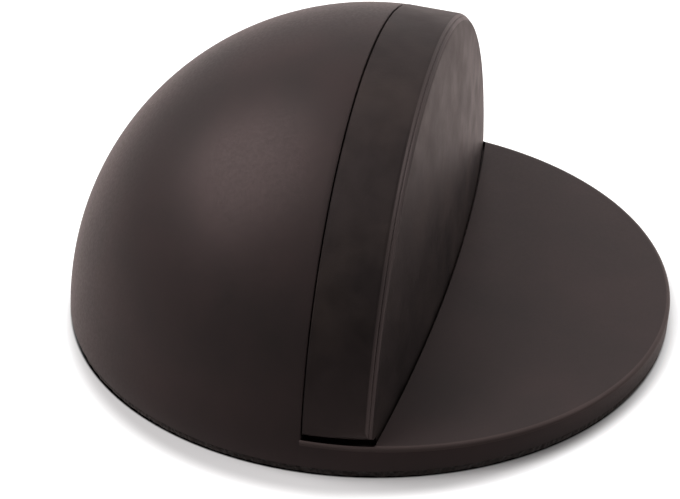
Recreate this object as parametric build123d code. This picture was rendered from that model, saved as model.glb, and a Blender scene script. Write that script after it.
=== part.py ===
from build123d import *

import math
import os

# Adhesive door bumper: a cast half dome on a round disc, a moulded rubber buffer that fills
# the mouth of the dome, and a foam pad that sticks the casting to the floor.
# Sizes are in millimetres. The origin is the middle of the foam pad's under side, +Z is up,
# and the door comes from -Y.

# Outside of the casting
plan_diameter = 45.0
overall_height = 21.8
mouth_overrun = 0.4
deck_height_at_mouth = 2.5
deck_height_at_front = 2.0
rim_edge_radius = 0.3
mouth_edge_radius = 0.1

# Inside of the casting
dome_wall = 2.4
mouth_wall = 1.4
rib_front_thickness = 1.6
rib_back_thickness = 2.4
slot_depth = 0.6
slot_end_lip = 0.2

# Rubber buffer
buffer_thickness = 4.5
buffer_draft = 0.3
buffer_rim_setback = 0.2
face_crown = 1.2
face_edge_chamfer = 0.4
back_edge_chamfer = 0.08
plug_depth = 3.5
plug_lead_in = 0.5
shoulder_radius = 0.6

# Foam pad
pad_thickness = 0.5
pad_setback = 0.15

# Clearances between the pieces
seam_gap = 0.1
plug_clearance = 0.1
slot_front_clearance = 0.15
slot_end_clearance = 0.85
shoulder_clearance = 0.15


def cap_radius(base_radius, height):
    """Radius of the sphere that has a cap of this base radius and height."""
    return (base_radius**2 + height**2) / (2 * height)


# Heights, from the floor up
casting_foot_z = pad_thickness
slot_floor_z = deck_height_at_mouth - slot_depth
shoulder_z = deck_height_at_mouth + shoulder_clearance

# The dome springs from the foot of the rim and reaches the overall height
plan_radius = plan_diameter / 2
dome_radius = cap_radius(plan_radius, overall_height - casting_foot_z)
dome_centre_z = overall_height - dome_radius

# Places along Y, from the dome towards the door
mouth_y = -mouth_overrun
buffer_back_y = mouth_y - seam_gap
plug_end_y = buffer_back_y + plug_depth
face_edge_y = buffer_back_y - buffer_thickness
face_apex_y = face_edge_y - face_crown
deck_fall = deck_height_at_mouth - deck_height_at_front
deck_fall_angle = math.degrees(math.atan2(deck_fall, plan_radius + mouth_y))

# Radii of the buffer about the dome's own centre line, flush with the dome at its back
buffer_back_radius = dome_radius
buffer_front_radius = buffer_back_radius - buffer_draft
face_radius = cap_radius(buffer_front_radius, face_crown)
face_centre_y = face_apex_y + face_radius
plug_seat_radius = dome_radius - mouth_wall
plug_radius = plug_seat_radius - plug_clearance

# Radii in plan, about the vertical axis
slot_end_radius = plan_radius - slot_end_lip
foot_end_radius = slot_end_radius - slot_end_clearance
buffer_plan_radius = plan_radius - buffer_rim_setback
pad_radius = plan_radius - pad_setback

# Cutting solids reach well past the object on every side
reach = 2 * (plan_diameter + overall_height)

dome_axis = Axis((0, 0, dome_centre_z), (0, 1, 0))
section_plane = Plane((0, 0, dome_centre_z), x_dir=(0, 1, 0), z_dir=(1, 0, 0))
bottom_centre = (Align.CENTER, Align.CENTER, Align.MIN)
top_centre = (Align.CENTER, Align.CENTER, Align.MAX)
back_centre = (Align.CENTER, Align.MIN, Align.CENTER)
front_centre = (Align.CENTER, Align.MAX, Align.CENTER)


def above(height):
    """All that lies above a height."""
    return Pos(0, 0, height) * Box(reach, reach, reach, align=bottom_centre)


def behind(place):
    """All that lies on the dome's side of a place along Y."""
    return Pos(0, place, 0) * Box(reach, reach, reach, align=back_centre)


def in_front_of(place):
    """All that lies on the door's side of a place along Y."""
    return Pos(0, place, 0) * Box(reach, reach, reach, align=front_centre)


def upright_cylinder(radius, place=0):
    """A tall cylinder about the vertical line at a place along Y."""
    return Pos(0, place, 0) * Cylinder(radius, reach)


def turned(half_section):
    """A solid turned about the dome's level centre line, from a face drawn along and out from it."""
    return revolve(section_plane * half_section, dome_axis)


def corner_of(half_section, along, out):
    """The corner of a half section nearest to a place along the centre line and a radius."""
    return half_section.vertices().sort_by_distance((along, out, 0))[0]


def half_dome():
    """The outside of the dome, from its back to its rounded mouth, as a full solid."""
    mouth_radius = (dome_radius**2 - mouth_y**2) ** 0.5
    outline = RadiusArc((mouth_y, mouth_radius), (dome_radius, 0), dome_radius)
    outline += Polyline((dome_radius, 0), (mouth_y, 0), (mouth_y, mouth_radius))
    half_section = make_face(outline)
    half_section = fillet(corner_of(half_section, mouth_y, mouth_radius), mouth_edge_radius)
    return turned(half_section) & above(casting_foot_z)


def disc():
    """The half disc in front of the dome, tipped so that its top falls a little towards the door.

    It starts behind the rounded edge of the mouth, so that no groove is left down the rim.
    """
    plate = Cylinder(plan_radius, reach, align=top_centre)
    plate = fillet(plate.edges().group_by(Axis.Z)[-1], rim_edge_radius)
    tipped = Pos(0, mouth_y, deck_height_at_mouth) * Rot(deck_fall_angle, 0, 0) * Pos(0, -mouth_y, 0) * plate
    return tipped & above(casting_foot_z) & in_front_of(mouth_y + mouth_edge_radius)


def buffer_slot():
    """The slot in the disc that the buffer's foot stands in, curved in front as its face is."""
    front_wall = upright_cylinder(face_radius + slot_front_clearance, face_centre_y)
    slot = upright_cylinder(slot_end_radius) & front_wall
    return slot & in_front_of(mouth_y) & above(slot_floor_z)


def plug_seat():
    """The round socket just inside the mouth, which ends on a ledge for the plug."""
    outline = Polyline(
        (mouth_y, 0), (mouth_y, plug_seat_radius), (plug_end_y, plug_seat_radius), (plug_end_y, 0), close=True
    )
    return turned(make_face(outline)) & above(slot_floor_z)


def support_rib():
    """The upright rib that backs the plug, thinner towards the mouth so that the mould lets go."""
    plan = Polyline(
        (-rib_front_thickness / 2, plug_end_y),
        (rib_front_thickness / 2, plug_end_y),
        (rib_back_thickness / 2, dome_radius),
        (-rib_back_thickness / 2, dome_radius),
        close=True,
    )
    return extrude(make_face(plan), reach)


def core():
    """The hollow behind the ledge, in two halves on either side of the supporting rib."""
    ball = Pos(0, 0, dome_centre_z) * Sphere(dome_radius - dome_wall)
    return (ball & behind(plug_end_y) & above(slot_floor_z)) - support_rib()


def door_stop_casting():
    """The one-piece casting: half dome, disc, slot, plug seat and core, flat beneath."""
    return half_dome() + disc() - buffer_slot() - plug_seat() - core()


def buffer_blank():
    """The buffer turned all round: its drafted rim and its plug, with the face still flat."""
    draft_slope = (buffer_back_radius - buffer_front_radius) / buffer_thickness
    blank_front_radius = buffer_back_radius - draft_slope * (buffer_back_y - face_apex_y)
    outline = Polyline(
        (face_apex_y, 0),
        (face_apex_y, blank_front_radius),
        (buffer_back_y, buffer_back_radius),
        (buffer_back_y, plug_radius),
        (plug_end_y, plug_radius),
        (plug_end_y, 0),
        close=True,
    )
    half_section = make_face(outline)
    half_section = chamfer(corner_of(half_section, plug_end_y, plug_radius), plug_lead_in)
    half_section = chamfer(corner_of(half_section, buffer_back_y, buffer_back_radius), back_edge_chamfer)
    return turned(half_section)


def buffer_envelope():
    """What the buffer's foot and two ends stay inside: a foot in the slot below a round shoulder."""
    shoulder_start = buffer_plan_radius - shoulder_radius
    shoulder_top = shoulder_z + shoulder_radius
    outline = Polyline(
        (buffer_plan_radius, shoulder_top),
        (buffer_plan_radius, overall_height),
        (0, overall_height),
        (0, slot_floor_z),
        (foot_end_radius, slot_floor_z),
        (foot_end_radius, shoulder_z),
        (shoulder_start, shoulder_z),
    )
    outline += RadiusArc((buffer_plan_radius, shoulder_top), (shoulder_start, shoulder_z), shoulder_radius)
    return revolve(Plane.XZ * make_face(outline), Axis.Z)


def rubber_buffer():
    """The moulded buffer: crowned half disc, plug for the dome's mouth and stepped foot."""
    crown = Pos(0, face_centre_y, dome_centre_z) * Sphere(face_radius)
    crowned = buffer_blank() & crown
    crowned = chamfer(crowned.edges().group_by(Axis.Y)[0], face_edge_chamfer)
    return crowned & buffer_envelope()


def foam_pad():
    """The round double-sided foam pad, cut a little smaller than the casting that it carries."""
    return Cylinder(pad_radius, pad_thickness, align=bottom_centre)


pieces = {
    "door_stop_casting": door_stop_casting(),
    "rubber_buffer": rubber_buffer(),
    "adhesive_foam_pad": foam_pad(),
}

os.makedirs("parts", exist_ok=True)
for name, piece in pieces.items():
    export_step(piece, f"parts/{name}.step")
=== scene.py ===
"""Looks of an adhesive door bumper: a cast half dome, its rubber buffer and its foam pad.

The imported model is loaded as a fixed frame. Each piece is modelled here in millimetres in that
frame, is brought to metres when its shape is done, and stands for the node that it replaces.
"""

from __future__ import annotations

import logging
import math
from collections.abc import Callable, Iterator
from contextlib import contextmanager
from dataclasses import dataclass, field
from enum import Enum
from typing import Any

import bmesh
import bpy
from mathutils import Matrix, Vector

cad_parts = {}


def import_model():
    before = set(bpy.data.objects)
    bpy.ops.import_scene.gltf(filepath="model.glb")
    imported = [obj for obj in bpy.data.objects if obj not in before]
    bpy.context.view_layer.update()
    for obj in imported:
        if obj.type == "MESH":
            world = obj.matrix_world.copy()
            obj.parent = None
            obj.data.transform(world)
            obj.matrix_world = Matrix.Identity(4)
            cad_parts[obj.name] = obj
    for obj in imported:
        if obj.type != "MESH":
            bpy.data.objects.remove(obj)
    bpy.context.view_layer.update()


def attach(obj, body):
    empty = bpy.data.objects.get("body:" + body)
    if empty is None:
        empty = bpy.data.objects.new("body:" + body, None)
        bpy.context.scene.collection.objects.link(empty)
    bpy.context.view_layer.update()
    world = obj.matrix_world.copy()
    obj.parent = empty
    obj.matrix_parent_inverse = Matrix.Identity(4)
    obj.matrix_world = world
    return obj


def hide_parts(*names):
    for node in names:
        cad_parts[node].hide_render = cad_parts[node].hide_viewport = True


MM = 0.001
BODY = "root"
IMAGE_WIDTH = 680
SENSOR_WIDTH = 36.0
RIGHT_ANGLE = 90.0

# Millimetres within which places count as one: in a finished shape, and while a plane cuts
FLATNESS = 1e-4
CUT_MARGIN = FLATNESS / 10

# Shares of a face's normal along an axis: nearly along it, and exactly along it
UPRIGHT = 0.9
LEVEL = 0.999

# Share of a length at 45 degrees that lies along either side
DIAGONAL = math.sqrt(0.5)

# A noise texture's values lie between about these, and it is summed from this many layers
NOISE_LOW, NOISE_HIGH = 0.3, 0.7
NOISE_RANGE = {"From Min": NOISE_LOW, "From Max": NOISE_HIGH}
PLAIN, UNEVEN, CLOUDY = 1.0, 2.0, 3.0

# The sRGB curve: a straight line up to the knee, and a power of the level above it
BRIGHTEST = 255
SRGB_KNEE, SRGB_SLOPE, SRGB_OFFSET, SRGB_POWER = 0.04045, 12.92, 0.055, 2.4

BLACK, WHITE = "#000000", "#ffffff"

Point = tuple[float, float, float]
Colour = tuple[float, float, float, float]
AXIS_X: Point = (1.0, 0.0, 0.0)
AXIS_Y: Point = (0.0, 1.0, 0.0)
AXIS_Z: Point = (0.0, 0.0, 1.0)

log = logging.getLogger("door_bumper")


class Slot(Enum):
    """The record's material slots."""

    LACQUER = "lacquered_casting"
    RUBBER = "buffer_rubber"
    FOAM = "pad_foam"


class Joining(Enum):
    """How a second solid changes the one on the bench."""

    ADD = "UNION"
    CUT = "DIFFERENCE"
    KEEP_INSIDE = "INTERSECT"


class Side(Enum):
    """Which side of a plane is taken away, as a factor on the plane's normal."""

    ABOVE = 1.0
    BELOW = -1.0


# Sizes shared by the pieces


@dataclass(frozen=True)
class SharedSizes:
    """Sizes in millimetres that the pieces have in common, as the solids have them."""

    plan_radius: float = 22.5
    overall_height: float = 21.8
    foot_z: float = 0.5
    mouth_y: float = -0.4
    seam_gap: float = 0.1
    slot_floor_z: float = 1.9
    slot_end_lip: float = 0.2
    deck_height: float = 2.5
    plug_depth: float = 3.5
    mouth_wall: float = 1.4
    face_crown: float = 1.2
    buffer_thickness: float = 4.5
    buffer_draft: float = 0.3

    @property
    def dome_radius(self) -> float:
        """Radius of the sphere that springs from the rim's foot and reaches the top."""
        rise = self.overall_height - self.foot_z
        return (self.plan_radius**2 + rise**2) / (2 * rise)

    @property
    def dome_centre_z(self) -> float:
        """Height of the dome's centre, a little under the floor."""
        return self.overall_height - self.dome_radius

    @property
    def dome_centre(self) -> Point:
        """The dome's centre, through which its level centre line runs."""
        return (0.0, 0.0, self.dome_centre_z)

    @property
    def buffer_back_y(self) -> float:
        """Place of the buffer's back, behind the seam."""
        return self.mouth_y - self.seam_gap

    @property
    def plug_end_y(self) -> float:
        """Place of the ledge that the plug stands against."""
        return self.buffer_back_y + self.plug_depth

    @property
    def plug_seat_radius(self) -> float:
        """Radius of the socket in the dome's mouth."""
        return self.dome_radius - self.mouth_wall

    @property
    def slot_end_radius(self) -> float:
        """Radius in plan of the slot's two ends, behind a thin lip."""
        return self.plan_radius - self.slot_end_lip

    @property
    def face_edge_radius(self) -> float:
        """Radius of the buffer at the edge of its face; at its back it is flush with the dome."""
        return self.dome_radius - self.buffer_draft

    @property
    def face_edge_y(self) -> float:
        """Place of the edge of the buffer's face."""
        return self.buffer_back_y - self.buffer_thickness

    @property
    def face_apex_y(self) -> float:
        """Place of the highest point of the crowned face."""
        return self.face_edge_y - self.face_crown

    @property
    def face_radius(self) -> float:
        """Radius of the crown of the face."""
        return (self.face_edge_radius**2 + self.face_crown**2) / (2 * self.face_crown)

    @property
    def face_centre_y(self) -> float:
        """Place of the centre of the crown's sphere."""
        return self.face_apex_y + self.face_radius

    def on_axis(self, along: float, out: float) -> Point:
        """Finds a point of an outline that is turned about the dome's level centre line.

        Args:
            along: Place along the centre line.
            out: Distance straight up from it.

        Returns:
            The point in the row frame.
        """
        return (0.0, along, self.dome_centre_z + out)


# The bench: modelling with operators, in millimetres


def clear_selection() -> None:
    """Returns to object mode with nothing selected."""
    if bpy.context.mode != "OBJECT":
        bpy.ops.object.mode_set(mode="OBJECT")
    bpy.ops.object.select_all(action="DESELECT")


class Workpiece:
    """A mesh object that is shaped with operators, in millimetres, in the row frame."""

    def __init__(self, name: str) -> None:
        """Takes the active object, which a primitive has just made, as the piece.

        Args:
            name: The object's name.
        """
        self.obj: bpy.types.Object = bpy.context.view_layer.objects.active
        self.obj.name = name
        self.obj.data.name = name
        bpy.ops.object.transform_apply(location=True, rotation=True, scale=True)

    @classmethod
    def at_point(cls, name: str, point: Point) -> Workpiece:
        """Starts an outline as a single vertex, a plane merged to its middle.

        Args:
            name: The object's name.
            point: Where the outline starts.

        Returns:
            The piece, with that vertex selected.
        """
        clear_selection()
        bpy.ops.mesh.primitive_plane_add(size=1.0, location=point)
        piece = cls(name)
        with piece.editing():
            bpy.ops.mesh.select_mode(type="VERT")
            bpy.ops.mesh.select_all(action="SELECT")
            bpy.ops.mesh.merge(type="CENTER")
        return piece

    @classmethod
    def cylinder(
        cls, name: str, radius: float, low: float, high: float, sides: int, y: float = 0.0
    ) -> Workpiece:
        """Starts from an upright cylinder.

        Args:
            name: The object's name.
            radius: The cylinder's radius.
            low: Height of its foot.
            high: Height of its top.
            sides: Number of sides.
            y: Place of its centre line along Y.

        Returns:
            The piece.
        """
        clear_selection()
        bpy.ops.mesh.primitive_cylinder_add(
            vertices=sides, radius=radius, depth=high - low, location=(0.0, y, (low + high) / 2)
        )
        return cls(name)

    @classmethod
    def block(cls, name: str, low: Point, high: Point) -> Workpiece:
        """Starts from a rectangular block.

        Args:
            name: The object's name.
            low: Its lowest corner.
            high: Its highest corner.

        Returns:
            The piece.
        """
        clear_selection()
        middle = tuple((a + b) / 2 for a, b in zip(low, high))
        bpy.ops.mesh.primitive_cube_add(size=1.0, location=middle)
        bpy.context.view_layer.objects.active.scale = tuple(b - a for a, b in zip(low, high))
        return cls(name)

    def activate(self) -> None:
        """Makes this the one selected and active object, in object mode."""
        clear_selection()
        self.obj.select_set(True)
        bpy.context.view_layer.objects.active = self.obj

    @contextmanager
    def editing(self) -> Iterator[None]:
        """Goes into edit mode on this piece alone, for as long as a with statement runs."""
        self.activate()
        bpy.ops.object.mode_set(mode="EDIT")
        yield
        bpy.ops.object.mode_set(mode="OBJECT")

    def select_vertices(self, wanted: Callable[[Vector], bool]) -> None:
        """Selects vertices by their place, in edit mode.

        Args:
            wanted: Says of a vertex's place whether it is selected.
        """
        bpy.ops.mesh.select_mode(type="VERT")
        mesh = bmesh.from_edit_mesh(self.obj.data)
        for vertex in mesh.verts:
            vertex.select_set(wanted(vertex.co))
        mesh.select_flush_mode()
        bmesh.update_edit_mesh(self.obj.data)

    def select_edges(self, wanted: Callable[[Vector, Vector], bool]) -> None:
        """Selects edges by the places of their ends, in edit mode.

        Args:
            wanted: Says of an edge's two ends whether it is selected.
        """
        bpy.ops.mesh.select_mode(type="EDGE")
        mesh = bmesh.from_edit_mesh(self.obj.data)
        for edge in mesh.edges:
            edge.select_set(wanted(edge.verts[0].co, edge.verts[1].co))
        bmesh.update_edit_mesh(self.obj.data)

    def select_faces(self, wanted: Callable[[Vector, Vector], bool]) -> None:
        """Selects faces by their middle and normal, in edit mode.

        Args:
            wanted: Says of a face's middle and normal whether it is selected.
        """
        bpy.ops.mesh.select_mode(type="FACE")
        mesh = bmesh.from_edit_mesh(self.obj.data)
        for face in mesh.faces:
            face.select_set(wanted(face.calc_center_median(), face.normal))
        bmesh.update_edit_mesh(self.obj.data)

    def line_to(self, point: Point) -> None:
        """Extrudes the outline's last vertex to a point, in edit mode.

        Args:
            point: Where the outline goes on to.
        """
        mesh = bmesh.from_edit_mesh(self.obj.data)
        last = next(vertex.co.copy() for vertex in mesh.verts if vertex.select)
        bpy.ops.mesh.extrude_vertices_move(
            TRANSFORM_OT_translate={"value": tuple(Vector(point) - last)}
        )

    def arc(self, centre: Point, axis: Point, degrees: float, steps: int) -> None:
        """Spins the outline's last vertex along an arc, in edit mode.

        Args:
            centre: The arc's centre.
            axis: The axis that it turns about.
            degrees: How far it turns, right-handed about the axis; the operator is left-handed.
            steps: Number of edges in the arc.
        """
        angle = -math.radians(degrees)
        bpy.ops.mesh.spin(steps=steps, angle=angle, center=centre, axis=axis, use_auto_merge=False)

    def turn(self, centre: Point, axis: Point, steps: int) -> None:
        """Spins the whole outline into a closed solid of revolution.

        Args:
            centre: A point on the axis.
            axis: The axis's direction.
            steps: Number of steps round.
        """
        with self.editing():
            bpy.ops.mesh.select_all(action="SELECT")
            bpy.ops.mesh.spin(
                steps=steps, angle=math.tau, center=centre, axis=axis, use_auto_merge=True
            )
            bpy.ops.mesh.select_all(action="SELECT")
            bpy.ops.mesh.remove_doubles(threshold=FLATNESS)
            bpy.ops.mesh.normals_make_consistent(inside=False)

    def cut_off(self, side: Side, normal: Point, place: float) -> None:
        """Cuts the piece at a plane across one of the axes, closes the cut and flattens it.

        Args:
            side: Which side of the plane goes.
            normal: The axis that the plane stands across.
            place: The plane's place along that axis.
        """
        with self.editing():
            bpy.ops.mesh.select_all(action="SELECT")
            bpy.ops.mesh.bisect(
                plane_co=tuple(place * n for n in normal),
                plane_no=tuple(side.value * n for n in normal),
                use_fill=True,
                clear_outer=True,
                threshold=CUT_MARGIN,
            )
            self.flatten(normal, place, FLATNESS)
            bpy.ops.mesh.select_all(action="SELECT")
            bpy.ops.mesh.normals_make_consistent(inside=False)

    def flatten(self, normal: Point, place: float, nearer_than: float) -> None:
        """Moves the vertices near a plane across one of the axes right into it, in edit mode.

        Args:
            normal: The axis that the plane stands across.
            place: The plane's place along that axis.
            nearer_than: Vertices up to this far from the plane are moved.
        """
        across = Vector(normal)
        self.select_vertices(lambda point: abs(point.dot(across) - place) < nearer_than)
        bpy.ops.transform.resize(
            value=tuple(1.0 - n for n in normal), center_override=tuple(place * n for n in normal)
        )

    def combine(self, how: Joining, other: Workpiece) -> None:
        """Adds, cuts or intersects with another solid, which is used up.

        Args:
            how: What the other solid does to this one.
            other: The other solid.
        """
        self.activate()
        bpy.ops.object.modifier_add(type="BOOLEAN")
        modifier = self.obj.modifiers[-1]
        modifier.operation = how.value
        modifier.solver = "EXACT"
        modifier.object = other.obj
        bpy.ops.object.modifier_apply(modifier=modifier.name)
        bpy.data.objects.remove(other.obj, do_unlink=True)

    def finish(
        self,
        crease_degrees: float,
        finishes: tuple[bpy.types.Material, bpy.types.Material],
        has_second: Callable[[Vector, Vector], bool],
    ) -> bpy.types.Object:
        """Shades the piece smooth between creases, brings it to metres and gives it its finishes.

        Args:
            crease_degrees: Edges that turn by more than this stay sharp.
            finishes: The piece's two finishes.
            has_second: Says of a face's middle, in millimetres, and normal whether it has the
                second one.

        Returns:
            The finished object, at the origin, unturned and unscaled.
        """
        with self.editing():
            bpy.ops.mesh.select_all(action="SELECT")
            bpy.ops.mesh.remove_doubles(threshold=FLATNESS)
            bpy.ops.mesh.dissolve_degenerate(threshold=FLATNESS)
        self.activate()
        self.obj.scale = (MM, MM, MM)
        bpy.ops.object.transform_apply(location=True, rotation=True, scale=True)
        bpy.ops.object.shade_smooth_by_angle(angle=math.radians(crease_degrees))
        for finish in finishes:
            self.obj.data.materials.append(finish)
        for face in self.obj.data.polygons:
            face.material_index = int(has_second(face.center / MM, face.normal))
        return self.obj


# Colours, nodes and finishes


def linear(hex_colour: str) -> Colour:
    """Turns an sRGB hex colour to linear.

    Args:
        hex_colour: Six hex digits after a #.

    Returns:
        Linear red, green and blue, and an alpha of 1.
    """
    levels = (part / BRIGHTEST for part in bytes.fromhex(hex_colour.removeprefix("#")))
    whole = 1.0 + SRGB_OFFSET
    red, green, blue = (
        c / SRGB_SLOPE if c <= SRGB_KNEE else ((c + SRGB_OFFSET) / whole) ** SRGB_POWER
        for c in levels
    )
    return red, green, blue, 1.0


def per_mm(size: float) -> float:
    """Texture scale, per metre, of a pattern whose features are this many millimetres apart."""
    return 1.0 / (size * MM)


def add_node(
    tree: bpy.types.NodeTree, kind: str, inputs: dict[str, Any] | None = None, **settings: Any
) -> bpy.types.Node:
    """Adds a node with its settings, values and links.

    Args:
        tree: The tree that the node goes in.
        kind: The node's type name, after ShaderNode.
        inputs: Values, output sockets or nodes, by the input's identifier or name; a node stands
            for the first of its outputs that is in use.
        **settings: Properties of the node.

    Returns:
        The new node.
    """
    node = tree.nodes.new("ShaderNode" + kind)
    for name, value in settings.items():
        setattr(node, name, value)
    for name, value in (inputs or {}).items():
        socket = next(s for s in node.inputs if name in (s.identifier, s.name))
        if isinstance(value, bpy.types.Node):
            value = next(s for s in value.outputs if s.enabled)
        if isinstance(value, bpy.types.NodeSocket):
            tree.links.new(value, socket)
        else:
            socket.default_value = value
    return node


def new_material(
    name: str,
) -> tuple[bpy.types.Material, bpy.types.NodeTree, bpy.types.NodeSocket]:
    """Makes a node material with nothing in it yet but its Object coordinates.

    Args:
        name: The material's name.

    Returns:
        The material, its tree, and the output that gives Object coordinates.
    """
    material = bpy.data.materials.new(name)
    material.use_nodes = True
    tree = material.node_tree
    tree.nodes.clear()
    return material, tree, add_node(tree, "TexCoord").outputs["Object"]


@dataclass(frozen=True)
class SatinLacquer:
    """Stoved satin lacquer over a zinc die casting.

    The clouds shift its brown-black a little, as a thin colour coat does. The peel breaks up the
    edge of the soft highlight, and the specks give the fine tooth of a satin coat up close.
    """

    name: str = "satin_brown_lacquer_on_zinc"
    dark: str = "#292626"
    warm: str = "#302a2a"
    cloud_size: float = 5.0
    peel_size: float = 0.7
    peel_depth: float = 0.004
    speck_size: float = 0.22
    speck_depth: float = 0.0012
    gloss_low: float = 0.37
    gloss_high: float = 0.45
    index: float = 1.3
    specular: float = 0.33
    tint: str = "#ffe4e4"

    def build(self) -> bpy.types.Material:
        """Builds the material.

        Returns:
            The material, which reads Object coordinates.
        """
        material, tree, place = new_material(self.name)
        patterns = (
            (self.cloud_size, CLOUDY),
            (self.peel_size, PLAIN),
            (self.speck_size, PLAIN),
        )
        clouds, peel, specks = (
            add_node(tree, "TexNoise", {"Vector": place, "Scale": per_mm(size), "Detail": layers})
            for size, layers in patterns
        )
        share = add_node(tree, "MapRange", {"Value": clouds, **NOISE_RANGE})
        colour = add_node(
            tree,
            "Mix",
            {"Factor": share, "A_Color": linear(self.dark), "B_Color": linear(self.warm)},
            data_type="RGBA",
        )
        gloss = add_node(
            tree,
            "MapRange",
            {"Value": specks, **NOISE_RANGE, "To Min": self.gloss_low, "To Max": self.gloss_high},
        )
        coarse = add_node(tree, "Bump", {"Height": peel, "Distance": self.peel_depth * MM})
        relief = add_node(
            tree, "Bump", {"Height": specks, "Distance": self.speck_depth * MM, "Normal": coarse}
        )
        shader = add_node(
            tree,
            "BsdfPrincipled",
            {
                "Base Color": colour,
                "Roughness": gloss,
                "IOR": self.index,
                "Specular IOR Level": self.specular,
                "Specular Tint": linear(self.tint),
                "Normal": relief,
            },
        )
        add_node(tree, "OutputMaterial", {"Surface": shader})
        return material


def rim_highlight_lacquer() -> SatinLacquer:
    """The same lacquer made paler on the rim's round, as a painted highlight along that edge."""
    return SatinLacquer(name="lacquer_with_painted_rim_highlight", dark="#3b3534", warm="#423b3a")


@dataclass(frozen=True)
class MouldedRubber:
    """Compression moulded rubber, black and dull.

    The mottle and the bloom, a faint waxy film that such rubber sweats, make its black uneven.
    The upright streaks are where the stock flowed up the mould, and the grain breaks up the
    light that rakes across the face.
    """

    name: str = "moulded_black_rubber"
    dark: str = "#171515"
    pale: str = "#1f1c1c"
    film: str = "#4a423e"
    mottle_size: float = 2.2
    bloom_size: float = 5.0
    bloom_from: float = 0.45
    bloom_share: float = 0.2
    streak_width: float = 0.5
    streak_length: float = 5.0
    streak_depth: float = 0.003
    grain_size: float = 0.25
    grain_depth: float = 0.006
    dull_low: float = 0.42
    dull_high: float = 0.52
    index: float = 1.4
    specular: float = 0.3
    tint: str = "#ffeded"

    def build(self) -> bpy.types.Material:
        """Builds the material.

        Returns:
            The material, which reads Object coordinates.
        """
        material, tree, place = new_material(self.name)
        drawn_out = (1.0, 1.0, self.streak_width / self.streak_length)
        upright = add_node(tree, "Mapping", {"Vector": place, "Scale": drawn_out})
        patterns = (
            (upright, self.streak_width, UNEVEN),
            (place, self.mottle_size, CLOUDY),
            (place, self.bloom_size, CLOUDY),
            (place, self.grain_size, UNEVEN),
        )
        streaks, mottle, bloom, grain = (
            add_node(tree, "TexNoise", {"Vector": along, "Scale": per_mm(size), "Detail": layers})
            for along, size, layers in patterns
        )
        uneven = add_node(tree, "MapRange", {"Value": mottle, **NOISE_RANGE})
        black = add_node(
            tree,
            "Mix",
            {"Factor": uneven, "A_Color": linear(self.dark), "B_Color": linear(self.pale)},
            data_type="RGBA",
        )
        veil = add_node(
            tree,
            "MapRange",
            {
                "Value": bloom,
                "From Min": self.bloom_from,
                "From Max": NOISE_HIGH,
                "To Max": self.bloom_share,
            },
        )
        colour = add_node(
            tree,
            "Mix",
            {"Factor": veil, "A_Color": black, "B_Color": linear(self.film)},
            data_type="RGBA",
        )
        dullness = add_node(
            tree,
            "MapRange",
            {"Value": mottle, **NOISE_RANGE, "To Min": self.dull_low, "To Max": self.dull_high},
        )
        flow = add_node(tree, "Bump", {"Height": streaks, "Distance": self.streak_depth * MM})
        relief = add_node(
            tree, "Bump", {"Height": grain, "Distance": self.grain_depth * MM, "Normal": flow}
        )
        shader = add_node(
            tree,
            "BsdfPrincipled",
            {
                "Base Color": colour,
                "Roughness": dullness,
                "IOR": self.index,
                "Specular IOR Level": self.specular,
                "Specular Tint": linear(self.tint),
                "Normal": relief,
            },
        )
        add_node(tree, "OutputMaterial", {"Surface": shader})
        return material


def edge_highlight_rubber() -> MouldedRubber:
    """Glossier rubber on the buffer's edges, painted paler as a highlight for its light lines."""
    return MouldedRubber(
        name="rubber_with_painted_edge_highlight",
        dark="#242121",
        pale="#2b2727",
        grain_depth=0.002,
        dull_low=0.38,
        dull_high=0.46,
        index=1.5,
        specular=0.38,
    )


@dataclass(frozen=True)
class ClosedCellFoam:
    """Die-cut closed-cell foam: dull and almost black.

    The cut edge is open in small dark cells between paler walls, drawn about twice as coarse as
    real ones so that they show at the photograph's scale.
    """

    name: str = "closed_cell_foam"
    wall: str = "#261f1d"
    # Painted shade: the cells' hollows are coloured darker than their walls, as shade falls in
    # them.
    cell: str = "#0c0807"
    cell_size: float = 0.3
    cell_depth: float = 0.08
    hollow_share: float = 0.15
    wall_share: float = 0.75
    roughness: float = 0.9

    def build(self) -> bpy.types.Material:
        """Builds the material.

        Returns:
            The material, which reads Object coordinates.
        """
        material, tree, place = new_material(self.name)
        cells = add_node(tree, "TexVoronoi", {"Vector": place, "Scale": per_mm(self.cell_size)})
        walls = add_node(
            tree,
            "MapRange",
            {"Value": cells, "From Min": self.hollow_share, "From Max": self.wall_share},
        )
        colour = add_node(
            tree,
            "Mix",
            {"Factor": walls, "A_Color": linear(self.cell), "B_Color": linear(self.wall)},
            data_type="RGBA",
        )
        relief = add_node(tree, "Bump", {"Height": walls, "Distance": self.cell_depth * MM})
        shader = add_node(
            tree,
            "BsdfPrincipled",
            {"Base Color": colour, "Roughness": self.roughness, "Normal": relief},
        )
        add_node(tree, "OutputMaterial", {"Surface": shader})
        return material


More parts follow.
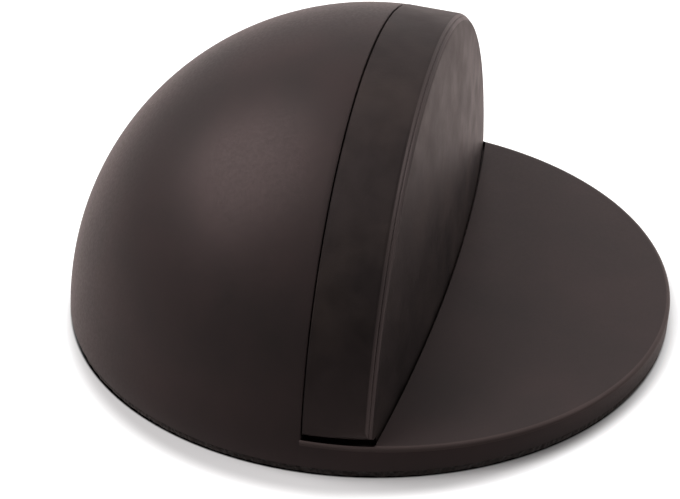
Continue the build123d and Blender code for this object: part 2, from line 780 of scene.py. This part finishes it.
@dataclass(frozen=True)
class AdhesiveFilm:
    """Acrylic adhesive on the foam's two faces: dark and tacky.

    Faint bubbles under it make its half gloss uneven, as a film laid on foam is.
    """

    name: str = "acrylic_adhesive_film"
    dark: str = "#1b1817"
    pale: str = "#2a2623"
    bubble_size: float = 1.4
    bubble_depth: float = 0.02
    gloss_low: float = 0.28
    gloss_high: float = 0.45

    def build(self) -> bpy.types.Material:
        """Builds the material.

        Returns:
            The material, which reads Object coordinates.
        """
        material, tree, place = new_material(self.name)
        bubbles = add_node(
            tree, "TexNoise", {"Vector": place, "Scale": per_mm(self.bubble_size), "Detail": CLOUDY}
        )
        share = add_node(tree, "MapRange", {"Value": bubbles, **NOISE_RANGE})
        colour = add_node(
            tree,
            "Mix",
            {"Factor": share, "A_Color": linear(self.dark), "B_Color": linear(self.pale)},
            data_type="RGBA",
        )
        gloss = add_node(
            tree, "MapRange", {"Value": share, "To Min": self.gloss_low, "To Max": self.gloss_high}
        )
        relief = add_node(tree, "Bump", {"Height": bubbles, "Distance": self.bubble_depth * MM})
        shader = add_node(
            tree, "BsdfPrincipled", {"Base Color": colour, "Roughness": gloss, "Normal": relief}
        )
        add_node(tree, "OutputMaterial", {"Surface": shader})
        return material


# The pieces


@dataclass
class HalfDomeCasting:
    """The one-piece casting: half dome, deck in front of it, slot, plug seat and core."""

    sizes: SharedSizes
    deck_front_height: float = 2.0
    rim_radius: float = 0.3
    mouth_edge_radius: float = 0.1
    wall: float = 2.4
    rib_front: float = 1.6
    rib_back: float = 2.4
    slot_front_clearance: float = 0.15
    hidden_step: float = 0.01
    crease_degrees: float = 30.0
    steps: int = 192
    edge_steps: int = 6
    finish: SatinLacquer = field(default_factory=SatinLacquer)
    # The rim's round gets a paler lacquer, which paints a highlight along it.
    edge_finish: SatinLacquer = field(default_factory=rim_highlight_lacquer)

    def build(self) -> bpy.types.Object:
        """Models the casting and dresses it.

        Returns:
            The finished object.
        """
        casting = self._dome()
        casting.combine(Joining.ADD, self._deck())
        casting.combine(Joining.CUT, self._slot())
        casting.combine(Joining.CUT, self._hollow())
        finishes = (self.finish.build(), self.edge_finish.build())
        return casting.finish(self.crease_degrees, finishes, self._is_edge)

    def _is_edge(self, place: Vector, normal: Vector) -> bool:
        """Tells the deck's rounded rim edge from the rest of the casting.

        Args:
            place: The middle of a face, in millimetres.
            normal: The face's normal.

        Returns:
            Whether it lies on the round between the deck and its rim.
        """
        s = self.sizes
        at_rim = place.to_2d().length > s.plan_radius - self.rim_radius
        return at_rim and place.y < s.mouth_y and 1.0 - UPRIGHT < normal.z < LEVEL

    def _dome(self) -> Workpiece:
        """Turns the solid half dome, from its rounded mouth to its back.

        Returns:
            The half dome, cut level at its foot.
        """
        s = self.sizes
        radius, edge = s.dome_radius, self.mouth_edge_radius
        edge_y = s.mouth_y + edge
        edge_out = math.sqrt((radius - edge) ** 2 - edge_y**2)
        turn = RIGHT_ANGLE + math.degrees(math.atan2(-edge_y, edge_out))
        dome = Workpiece.at_point("cast_half_dome", s.on_axis(s.mouth_y, 0.0))
        with dome.editing():
            dome.line_to(s.on_axis(s.mouth_y, edge_out))
            dome.arc(s.on_axis(edge_y, edge_out), AXIS_X, turn - 2 * RIGHT_ANGLE, self.edge_steps)
            dome.arc(s.dome_centre, AXIS_X, -turn, self.steps // 2)
        dome.turn(s.dome_centre, AXIS_Y, self.steps)
        dome.cut_off(Side.BELOW, AXIS_Z, s.foot_z)
        return dome

    def _deck(self) -> Workpiece:
        """Makes the half disc in front of the mouth, with a rounded rim, tipped to fall forwards.

        Returns:
            The deck, which starts behind the rounded edge of the mouth so that it leaves no groove.
        """
        s = self.sizes
        fall = math.atan2(s.deck_height - self.deck_front_height, s.plan_radius + s.mouth_y)
        sides = 2 * self.steps
        deck = Workpiece.cylinder("deck", s.plan_radius, -s.plan_radius, s.deck_height, sides)
        with deck.editing():
            deck.select_faces(lambda middle, normal: normal.z > UPRIGHT)
            bpy.ops.mesh.bevel(
                offset=self.rim_radius, offset_type="OFFSET", segments=self.edge_steps
            )
            inner = s.plan_radius / 2
            deck.select_faces(lambda middle, normal: normal.z > LEVEL and middle.length < inner)
            bpy.ops.mesh.inset(thickness=self.rim_radius)
            bpy.ops.mesh.select_all(action="SELECT")
            bpy.ops.transform.rotate(
                value=-fall, orient_axis="X", center_override=(0.0, s.mouth_y, s.deck_height)
            )
        deck.cut_off(Side.BELOW, AXIS_Z, s.foot_z)
        deck.cut_off(Side.ABOVE, AXIS_Y, s.mouth_y + self.mouth_edge_radius)
        return deck

    def _slot(self) -> Workpiece:
        """Makes what the slot for the buffer's foot takes away, curved in front as the face is.

        The cutter's back stands a hidden step before the mouth, as flush planes don't cut well. Its
        front is part of a very wide cylinder, which has more sides to be as round as the rest.

        Returns:
            The cutter.
        """
        s = self.sizes
        high = 2 * s.deck_height
        sides, front_sides = 2 * self.steps, 8 * self.steps
        slot = Workpiece.cylinder("slot", s.slot_end_radius, s.slot_floor_z, high, sides)
        slot.cut_off(Side.ABOVE, AXIS_Y, s.mouth_y - self.hidden_step)
        front_radius = s.face_radius + self.slot_front_clearance
        front = Workpiece.cylinder(
            "slot_front", front_radius, 0.0, 2 * high, front_sides, s.face_centre_y
        )
        front.cut_off(Side.ABOVE, AXIS_Y, -s.mouth_y)
        slot.combine(Joining.KEEP_INSIDE, front)
        return slot

    def _hollow(self) -> Workpiece:
        """Makes what the plug seat, its ledge and the core take away, with the rib left standing.

        Returns:
            The cutter.
        """
        s = self.sizes
        core_radius = s.dome_radius - self.wall
        core_out = math.sqrt(core_radius**2 - s.plug_end_y**2)
        turn = math.degrees(math.atan2(core_out, s.plug_end_y))
        hollow = Workpiece.at_point("hollow", s.on_axis(s.buffer_back_y, 0.0))
        with hollow.editing():
            hollow.line_to(s.on_axis(s.buffer_back_y, s.plug_seat_radius))
            hollow.line_to(s.on_axis(s.plug_end_y, s.plug_seat_radius))
            hollow.line_to(s.on_axis(s.plug_end_y, core_out))
            hollow.arc(s.dome_centre, AXIS_X, -turn, self.steps // 4)
        hollow.turn(s.dome_centre, AXIS_Y, self.steps)
        hollow.cut_off(Side.BELOW, AXIS_Z, s.slot_floor_z)
        hollow.combine(Joining.CUT, self._rib())
        return hollow

    def _rib(self) -> Workpiece:
        """Makes the upright rib behind the plug, thicker towards the back of the dome.

        Returns:
            The rib, as a cutter for the hollow.
        """
        s = self.sizes
        reach = s.plan_radius
        low, high = (-self.rib_front / 2, s.plug_end_y, 0.0), (self.rib_front / 2, reach, reach)
        rib = Workpiece.block("rib", low, high)
        with rib.editing():
            rib.select_faces(lambda middle, normal: normal.y > UPRIGHT)
            widening = (self.rib_back / self.rib_front, 1.0, 1.0)
            bpy.ops.transform.resize(value=widening, center_override=(0.0, reach, 0.0))
        return rib


@dataclass
class MouldedBuffer:
    """The rubber buffer: crowned face, soft chamfer, drafted rim, plug and stepped foot."""

    sizes: SharedSizes
    face_chamfer: float = 0.4
    chamfer_softness: float = 0.2
    tear_line_width: float = 0.07
    tear_line_depth: float = 0.035
    back_chamfer: float = 0.08
    seam_closing: float = 0.07
    plug_clearance: float = 0.1
    plug_lead_in: float = 0.5
    slot_end_clearance: float = 0.85
    shoulder_clearance: float = 0.15
    shoulder_radius: float = 0.6
    rim_setback: float = 0.2
    crease_degrees: float = 30.0
    steps: int = 192
    edge_steps: int = 6
    finish: MouldedRubber = field(default_factory=MouldedRubber)
    # The edges get a glossier rubber whose paler colour is a painted highlight.
    edge_finish: MouldedRubber = field(default_factory=edge_highlight_rubber)

    def build(self) -> bpy.types.Object:
        """Models the buffer and dresses it.

        Returns:
            The finished object.
        """
        buffer = self._turned_blank()
        buffer.combine(Joining.KEEP_INSIDE, self._envelope())
        self._close_seam(buffer)
        finishes = (self.finish.build(), self.edge_finish.build())
        return buffer.finish(
            self.crease_degrees, finishes, lambda middle, normal: self._is_edge(middle)
        )

    def _is_edge(self, place: Vector) -> bool:
        """Tells the edges with the glossier, paler rubber from the rest of the buffer.

        Args:
            place: The middle of a face, in millimetres.

        Returns:
            Whether it lies on the face's chamfer or on the round above the foot.
        """
        s = self.sizes
        from_edge_y = place.y - s.face_edge_y
        from_edge_radius = s.face_edge_radius - math.hypot(place.x, place.z - s.dome_centre_z)
        on_chamfer = from_edge_y < self.face_chamfer and from_edge_radius < self.face_chamfer
        shoulder_z = s.deck_height + self.shoulder_clearance
        foot_radius = s.slot_end_radius - self.slot_end_clearance
        above_foot = shoulder_z - FLATNESS < place.z < shoulder_z + self.shoulder_radius / 2
        return on_chamfer or (above_foot and place.to_2d().length > foot_radius)

    def _close_seam(self, buffer: Workpiece) -> None:
        """Swings the flange's back towards the dome at its foot, as the seam narrows downwards.

        Args:
            buffer: The buffer, cut to its outline.
        """
        s = self.sizes
        front, back = s.buffer_back_y - self.back_chamfer - FLATNESS, s.buffer_back_y + FLATNESS
        hinge = (0.0, s.buffer_back_y, s.overall_height)
        with buffer.editing():
            buffer.select_vertices(lambda place: front < place.y < back)
            bpy.ops.transform.rotate(
                value=-self.seam_closing / s.overall_height, orient_axis="X", center_override=hinge
            )

    def _turned_blank(self) -> Workpiece:
        """Turns the buffer all round, from its crowned face to the end of its plug.

        Returns:
            The blank, still a whole disc.
        """
        s = self.sizes
        plug_radius = s.plug_seat_radius - self.plug_clearance
        crown_out = s.face_edge_radius - self.face_chamfer
        crown_degrees = math.degrees(math.asin(crown_out / s.face_radius))
        slope = s.buffer_draft / s.buffer_thickness
        blank = Workpiece.at_point("moulded_buffer", s.on_axis(s.face_apex_y, 0.0))
        with blank.editing():
            blank.arc(s.on_axis(s.face_centre_y, 0.0), AXIS_X, -crown_degrees, self.steps // 3)
            for along, out in (
                *self._tear_line(),
                (s.face_edge_y + self.face_chamfer, s.face_edge_radius + slope * self.face_chamfer),
                (s.buffer_back_y - self.back_chamfer, s.dome_radius),
                (s.buffer_back_y, s.dome_radius - self.back_chamfer),
                (s.buffer_back_y, plug_radius),
                (s.plug_end_y - self.plug_lead_in, plug_radius),
                (s.plug_end_y, plug_radius - self.plug_lead_in),
                (s.plug_end_y, 0.0),
            ):
                blank.line_to(s.on_axis(along, out))
            self._soften_chamfer(blank)
        blank.turn(s.dome_centre, AXIS_Y, self.steps)
        return blank

    def _tear_line(self) -> list[tuple[float, float]]:
        """Places the fine groove along the middle of the chamfer, where the flash was torn off.

        Returns:
            The groove's three corners, each along and out from the centre line.
        """
        s = self.sizes
        along = s.face_edge_y + self.face_chamfer / 2
        out = s.face_edge_radius - self.face_chamfer / 2
        half, deep = self.tear_line_width / 2 * DIAGONAL, self.tear_line_depth * DIAGONAL
        return [(along - half, out - half), (along + deep, out - deep), (along + half, out + half)]

    def _soften_chamfer(self, blank: Workpiece) -> None:
        """Rounds the two corners of the face's chamfer, in edit mode.

        Args:
            blank: The outline before it is turned.
        """
        s = self.sizes
        lowest = s.dome_centre_z + s.face_edge_radius - self.face_chamfer - FLATNESS
        furthest_back = s.face_edge_y + self.face_chamfer + FLATNESS
        middle = s.face_edge_y + self.face_chamfer / 2
        blank.select_vertices(
            lambda place: place.z > lowest
            and place.y < furthest_back
            and abs(place.y - middle) > self.tear_line_width
        )
        bpy.ops.mesh.bevel(
            offset=self.chamfer_softness,
            offset_type="OFFSET",
            segments=self.edge_steps,
            affect="VERTICES",
        )

    def _envelope(self) -> Workpiece:
        """Turns what the buffer's foot and its two ends stay inside, about the upright axis.

        Returns:
            The solid to keep the blank inside of.
        """
        s = self.sizes
        foot_radius = s.slot_end_radius - self.slot_end_clearance
        outer_radius = s.plan_radius - self.rim_setback
        bend_radius = outer_radius - self.shoulder_radius
        shoulder_z = s.deck_height + self.shoulder_clearance
        bend_z = shoulder_z + self.shoulder_radius
        high = s.overall_height + s.deck_height
        envelope = Workpiece.at_point("envelope", (0.0, 0.0, s.slot_floor_z))
        with envelope.editing():
            envelope.line_to((foot_radius, 0.0, s.slot_floor_z))
            envelope.line_to((foot_radius, 0.0, shoulder_z))
            envelope.line_to((bend_radius, 0.0, shoulder_z))
            envelope.arc((bend_radius, 0.0, bend_z), AXIS_Y, -RIGHT_ANGLE, self.edge_steps)
            envelope.line_to((outer_radius, 0.0, high))
            envelope.line_to((0.0, 0.0, high))
        envelope.turn((0.0, 0.0, 0.0), AXIS_Z, 2 * self.steps)
        return envelope


@dataclass
class FoamPad:
    """The die-cut foam pad under the casting, with adhesive on both faces and a ragged cut edge."""

    sizes: SharedSizes
    setback: float = 0.15
    raggedness: float = 0.1
    cell_size: float = 0.5
    edge_rings: int = 5
    flattened_share: float = 0.9
    crease_degrees: float = 50.0
    steps: int = 900
    edge_finish: ClosedCellFoam = field(default_factory=ClosedCellFoam)
    face_finish: AdhesiveFilm = field(default_factory=AdhesiveFilm)

    def build(self) -> bpy.types.Object:
        """Models the pad and dresses it.

        Returns:
            The finished object.
        """
        top = self.sizes.foot_z
        cut_radius = self.sizes.plan_radius - self.setback
        pad = Workpiece.cylinder("foam_pad", cut_radius, 0.0, top, self.steps)
        with pad.editing():
            pad.select_faces(lambda middle, normal: abs(normal.z) > UPRIGHT)
            bpy.ops.mesh.inset(thickness=self.raggedness)
            pad.select_edges(lambda a, b: abs(a.z - b.z) > top / 2)
            bpy.ops.mesh.subdivide(number_cuts=self.edge_rings)
        self._roughen(pad, cut_radius - self.raggedness / 2)
        nearly_ring_height = self.flattened_share * top / (self.edge_rings + 1)
        with pad.editing():
            for level in (0.0, top):
                pad.flatten(AXIS_Z, level, nearly_ring_height)
        finishes = (self.edge_finish.build(), self.face_finish.build())
        return pad.finish(
            self.crease_degrees, finishes, lambda middle, normal: abs(normal.z) > UPRIGHT
        )

    def _roughen(self, pad: Workpiece, from_radius: float) -> None:
        """Displaces the cut edge by a cloud pattern, so that it is ragged as torn cells are.

        Args:
            pad: The pad, whose edge has its rings.
            from_radius: Vertices further out than this are moved.
        """
        edge = pad.obj.vertex_groups.new(name="cut_edge")
        rim = [v.index for v in pad.obj.data.vertices if v.co.to_2d().length > from_radius]
        edge.add(rim, 1.0, "REPLACE")
        cells = bpy.data.textures.new("foam_cells", "CLOUDS")
        cells.noise_scale = self.cell_size
        pad.activate()
        bpy.ops.object.modifier_add(type="DISPLACE")
        modifier = pad.obj.modifiers[-1]
        modifier.texture = cells
        modifier.texture_coords = "LOCAL"
        modifier.vertex_group = edge.name
        modifier.strength = 2 * self.raggedness
        bpy.ops.object.modifier_apply(modifier=modifier.name)
        bpy.data.textures.remove(cells)
        pad.obj.vertex_groups.clear()


# The studio


def bearing(azimuth: float, elevation: float) -> Vector:
    """Turns two angles into a direction from the object.

    Args:
        azimuth: Degrees, 0 towards -Y and 90 towards +X.
        elevation: Degrees above the floor.

    Returns:
        A vector of length 1.
    """
    around, above = math.radians(azimuth), math.radians(elevation)
    level = math.cos(above)
    return Vector((math.sin(around) * level, -math.cos(around) * level, math.sin(above)))


def backdrop_rays(tree: bpy.types.NodeTree) -> bpy.types.Node:
    """Tells the rays that see floor and surroundings from the rays that they only light by.

    Args:
        tree: The tree of a stage material.

    Returns:
        A node that gives 1 for camera, glossy and transmission rays and 0 for the others.
    """
    rays = add_node(tree, "LightPath").outputs
    either = add_node(
        tree,
        "Math",
        {"Value": rays["Is Camera Ray"], "Value_001": rays["Is Glossy Ray"]},
        operation="MAXIMUM",
    )
    return add_node(
        tree,
        "Math",
        {"Value": either, "Value_001": rays["Is Transmission Ray"]},
        operation="MAXIMUM",
    )


class Course(Enum):
    """How a level runs across a fade."""

    STRAIGHT = "LINEAR"
    SOFT = "SMOOTHSTEP"


@dataclass(frozen=True)
class RoundFade:
    """A level on the floor that changes with the distance from a point, in millimetres."""

    centre: Point
    start: float
    end: float
    inside: float = 0.0
    outside: float = 1.0
    course: Course = Course.STRAIGHT

    def build(self, tree: bpy.types.NodeTree, place: bpy.types.NodeSocket) -> bpy.types.Node:
        """Adds the fade to the floor's material.

        Args:
            tree: The material's tree.
            place: The place on the floor, in metres.

        Returns:
            A node that gives the level.
        """
        away = add_node(
            tree,
            "VectorMath",
            {"Vector": place, "Vector_001": Vector(self.centre) * MM},
            operation="DISTANCE",
        )
        return add_node(
            tree,
            "MapRange",
            {
                "Value": away.outputs["Value"],
                "From Min": self.start * MM,
                "From Max": self.end * MM,
                "To Min": self.inside,
                "To Max": self.outside,
            },
            interpolation_type=self.course.value,
        )


@dataclass(frozen=True)
class SoftLamp:
    """A square soft lamp that faces the object."""

    name: str
    azimuth: float
    elevation: float
    size: float
    power: float
    distance: float = 1.2
    colour: str = "#fff6f4"
    mirrored: bool = True

    def build(self, scene: bpy.types.Scene) -> None:
        """Adds the lamp.

        Args:
            scene: The scene that it lights.
        """
        data = bpy.data.lights.new(self.name, "AREA")
        data.shape = "SQUARE"
        data.size = self.size
        data.energy = self.power
        data.color = linear(self.colour)[:3]
        lamp = bpy.data.objects.new(self.name, data)
        lamp.visible_glossy = self.mirrored
        direction = bearing(self.azimuth, self.elevation)
        lamp.location = self.distance * direction
        lamp.rotation_mode = "QUATERNION"
        lamp.rotation_quaternion = (-direction).to_track_quat("-Z", "Y")
        scene.collection.objects.link(lamp)


@dataclass
class Studio:
    """Pale floor, soft lamps, white surroundings and the camera at the photograph's angle.

    To the camera the floor glows by itself up to white. The glow fades out in a stretched ring
    round the object, so that the lamps' own shadow shows and painted shade darkens the floor round
    the foot. It is painted black beneath the pad and just past its edge, a painted contact shadow
    where the two touch. The object mirrors a warmer and dimmer floor, with a painted pool of light
    near its foot on the photographer's side, and the light that comes back from it is that of a
    grey one.
    """

    azimuth: float = -76.844
    elevation: float = 31.510
    roll: float = 0.651
    distance: float = 136.2
    aim: Point = (1.09, 2.57, 2.69)
    focal_pixels: float = 1788.4
    clip_start: float = 0.01
    clip_end: float = 20.0
    floor_size: float = 4.0
    floor_colour: str = "#c9ced0"
    floor_mirrored: str = "#d0c6c4"
    floor_bounce: str = "#606060"
    # Painted contact shadow: black on the floor under the pad and just past its edge.
    painted_contact_shadow: RoundFade = RoundFade((-0.08, 0.04, 0.0), start=22.4, end=22.53)
    # Painted shade: the glow fades out in a stretched ring round the foot, so the floor is darker
    # there on top of the lamps' real shadow.
    shadow_shape: Point = (0.935, 1.023, 1.0)
    seen_glow_with_painted_shade: RoundFade = RoundFade(
        (0.0, -0.13, 0.0), start=22.2, end=23.9, outside=0.6, course=Course.SOFT
    )
    # Painted light: mirrored rays see the floor glow brighter near the foot on the photographer's
    # side.
    mirrored_glow_with_painted_pool: RoundFade = RoundFade(
        (-6.0, -0.5, 0.0), start=17.5, end=20.5, inside=0.45, outside=0.1
    )
    warm_white: str = "#fff3f1"
    soft_light: float = 0.22
    mirrored_light: float = 0.85
    dim_azimuth: float = -110.0
    dim_elevation: float = -15.0
    lit_share: float = 1.0
    dim_share: float = 0.05
    dim_from: float = -0.75
    dim_to: float = 0.85
    lamps: tuple[SoftLamp, ...] = (
        SoftLamp("key", azimuth=187.0, elevation=51.0, size=0.86, power=19.0),
        SoftLamp("front", azimuth=10.0, elevation=37.0, size=0.45, power=3.0),
        SoftLamp("fill", azimuth=80.0, elevation=35.0, size=1.0, power=13.5, mirrored=False),
    )

    def build(self) -> None:
        """Makes the camera, the floor, the world and the lamps."""
        scene = bpy.context.scene
        scene.view_settings.view_transform = "Standard"
        self._camera(scene)
        self._floor()
        self._world(scene)
        for lamp in self.lamps:
            lamp.build(scene)

    def _camera(self, scene: bpy.types.Scene) -> None:
        """Places the camera.

        Args:
            scene: The scene that it becomes the camera of.
        """
        back = bearing(self.azimuth, self.elevation)
        level = bearing(self.azimuth + RIGHT_ANGLE, 0.0)
        right = Matrix.Rotation(math.radians(self.roll), 3, back) @ level
        up = back.cross(right)
        data = bpy.data.cameras.new("camera")
        data.sensor_width = SENSOR_WIDTH
        data.lens = self.focal_pixels * SENSOR_WIDTH / IMAGE_WIDTH
        data.clip_start, data.clip_end = self.clip_start, self.clip_end
        camera = bpy.data.objects.new("camera", data)
        scene.collection.objects.link(camera)
        matrix = Matrix((right, up, back)).transposed().to_4x4()
        matrix.translation = (Vector(self.aim) + self.distance * back) * MM
        camera.matrix_world = matrix
        scene.camera = camera

    def _floor(self) -> None:
        """Makes the floor: white where it is seen, with the object's shadow, and a soft bounce."""
        clear_selection()
        bpy.ops.mesh.primitive_plane_add(size=self.floor_size)
        floor = bpy.context.view_layer.objects.active
        floor.name = "floor"
        material, tree, place = new_material("pale_floor")
        seen = backdrop_rays(tree)
        camera_ray = add_node(tree, "LightPath").outputs["Is Camera Ray"]
        # The camera's floor colour paints a black contact shadow under the pad's edge.
        blends = (
            (self.painted_contact_shadow.build(tree, place), BLACK, self.floor_colour),
            (seen, self.floor_bounce, self.floor_mirrored),
        )
        in_picture, elsewhere = (
            add_node(
                tree,
                "Mix",
                {"Factor": share, "A_Color": linear(one), "B_Color": linear(other)},
                data_type="RGBA",
            )
            for share, one, other in blends
        )
        colour = add_node(
            tree,
            "Mix",
            {"Factor": camera_ray, "A_Color": elsewhere, "B_Color": in_picture},
            data_type="RGBA",
        )
        # The camera's glow fades out round the foot, painting shade over the real shadow.
        shaped = add_node(tree, "Mapping", {"Vector": place, "Scale": self.shadow_shape})
        # Mirrored rays see a painted pool of light near the foot.
        level = add_node(
            tree,
            "MapRange",
            {
                "Value": camera_ray,
                "To Min": self.mirrored_glow_with_painted_pool.build(tree, place),
                "To Max": self.seen_glow_with_painted_shade.build(tree, shaped.outputs["Vector"]),
            },
        )
        glow = add_node(tree, "Math", {"Value": seen, "Value_001": level}, operation="MULTIPLY")
        matt = add_node(tree, "BsdfDiffuse", {"Color": colour})
        light = add_node(tree, "Emission", {"Strength": glow})
        both = add_node(tree, "AddShader", {"Shader": matt, "Shader_001": light})
        add_node(tree, "OutputMaterial", {"Surface": both})
        floor.data.materials.append(material)

    def _world(self, scene: bpy.types.Scene) -> None:
        """Makes surroundings that are white to the eye, and dim where the photographer stands.

        Args:
            scene: The scene that they belong to.
        """
        world = bpy.data.worlds.new("white_surroundings")
        world.use_nodes = True
        tree = world.node_tree
        tree.nodes.clear()
        rays = add_node(tree, "LightPath").outputs
        direction = add_node(tree, "TexCoord").outputs["Generated"]
        nearness = add_node(
            tree,
            "VectorMath",
            {"Vector": direction, "Vector_001": bearing(self.dim_azimuth, self.dim_elevation)},
            operation="DOT_PRODUCT",
        )
        share = add_node(
            tree,
            "MapRange",
            {
                "Value": nearness.outputs["Value"],
                "From Min": self.dim_from,
                "From Max": self.dim_to,
                "To Min": self.lit_share,
                "To Max": self.dim_share,
            },
        )
        full = add_node(
            tree,
            "MapRange",
            {
                "Value": rays["Is Glossy Ray"],
                "To Min": self.soft_light,
                "To Max": self.mirrored_light,
            },
        )
        light = add_node(tree, "Math", {"Value": share, "Value_001": full}, operation="MULTIPLY")
        seen = add_node(
            tree,
            "Math",
            {"Value": rays["Is Camera Ray"], "Value_001": rays["Is Transmission Ray"]},
            operation="MAXIMUM",
        )
        strength = add_node(tree, "MapRange", {"Value": seen, "To Min": light})
        colour = add_node(
            tree,
            "Mix",
            {"Factor": seen, "A_Color": linear(self.warm_white), "B_Color": linear(WHITE)},
            data_type="RGBA",
        )
        white = add_node(tree, "Background", {"Color": colour, "Strength": strength})
        add_node(tree, "OutputWorld", {"Surface": white})
        scene.world = world


def main() -> None:
    """Loads the frame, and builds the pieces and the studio."""
    logging.basicConfig(level=logging.INFO, format="%(name)s: %(message)s")
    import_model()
    Studio().build()
    sizes = SharedSizes()
    plan = (
        (HalfDomeCasting(sizes), Slot.LACQUER, "door_stop_casting"),
        (MouldedBuffer(sizes), Slot.RUBBER, "rubber_buffer"),
        (FoamPad(sizes), Slot.FOAM, "adhesive_foam_pad"),
    )
    for maker, slot, node in plan:
        piece = maker.build()
        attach(piece, BODY)
        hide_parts(node)
        log.info("%s stands for %s, %d faces", piece.name, node, len(piece.data.polygons))


if __name__ == "__main__":
    main()
